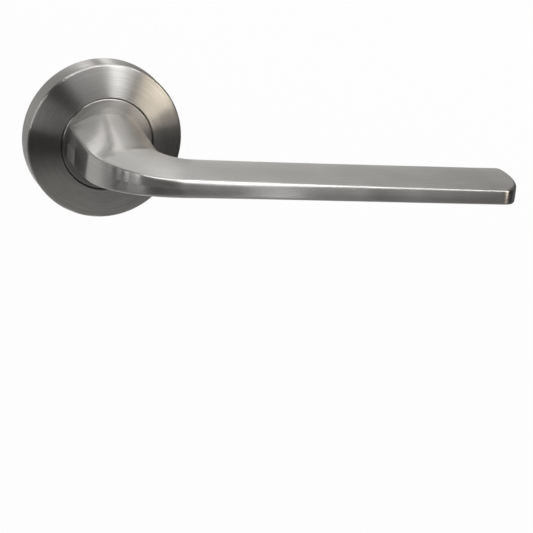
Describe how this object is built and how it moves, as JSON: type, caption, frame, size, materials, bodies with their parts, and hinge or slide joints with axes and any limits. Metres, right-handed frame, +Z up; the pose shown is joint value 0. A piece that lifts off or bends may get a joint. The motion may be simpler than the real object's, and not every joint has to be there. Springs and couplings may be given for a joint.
{
  "type": "door lever handle",
  "caption": "Sprung door lever handle on a round push-fit rose, with a flat-sided neck that sweeps into a thin straight grip.",
  "frame": {"origin": "on the spindle axis, in the plane of the door's surface, at the centre of the mounting plate's back", "axes": "-Y out of the door towards the user, +Y into the door along the spindle, +X along the grip, +Z up"},
  "size_m": [0.1544, 0.0882, 0.052],
  "materials": {
    "lever_satin": "satin brushed along the lever's length",
    "rose_turned": "satin, brushed in circles about the spindle",
    "drive_steel": "plain bright steel, as drawn",
    "zinc_casting": "grey die-cast zinc, fine grain",
    "spring_steel": "dark tempered spring steel",
    "black_steel": "black oxide",
    "plated_screw": "yellow zinc plate",
    "nylon": "black nylon"
  },
  "bodies": {
    "rose": {"mounting_plate": "zinc_casting", "fixing_screw_1": "plated_screw", "fixing_screw_2": "plated_screw", "locating_sleeve_1": "drive_steel", "locating_sleeve_2": "drive_steel", "bearing_bush": "nylon", "spring_housing": "zinc_casting", "housing_cap": "drive_steel", "cassette_screw_1": "plated_screw", "cassette_screw_2": "plated_screw", "cassette_screw_3": "plated_screw", "stop_pin_1": "drive_steel", "stop_pin_2": "drive_steel", "cover_clip_1": "spring_steel", "cover_clip_2": "spring_steel", "cover_clip_3": "spring_steel"},
    "lever": {"lever_handle": "lever_satin", "collar_disc": "rose_turned", "spindle": "drive_steel", "grub_screw": "black_steel", "wave_washer": "spring_steel", "circlip": "spring_steel", "spring_cam": "drive_steel", "return_spring": "spring_steel"},
    "cover": {"rose_cover": "rose_turned"}
  },
  "joints": [
    {"name": "lever_turn", "type": "hinge", "parent": "rose", "child": "lever", "pos_m": [0, 0, 0], "axis": [0, 1, 0], "range_deg": [0, 60], "stiffness_Nm_per_rad": 0.9, "springref_deg": -20.05, "deforming": ["return_spring"]},
    {"name": "cover_slide", "type": "slide", "parent": "rose", "child": "cover", "axis": [0, -1, 0], "range_m": [0, 0.016]}
  ]
}
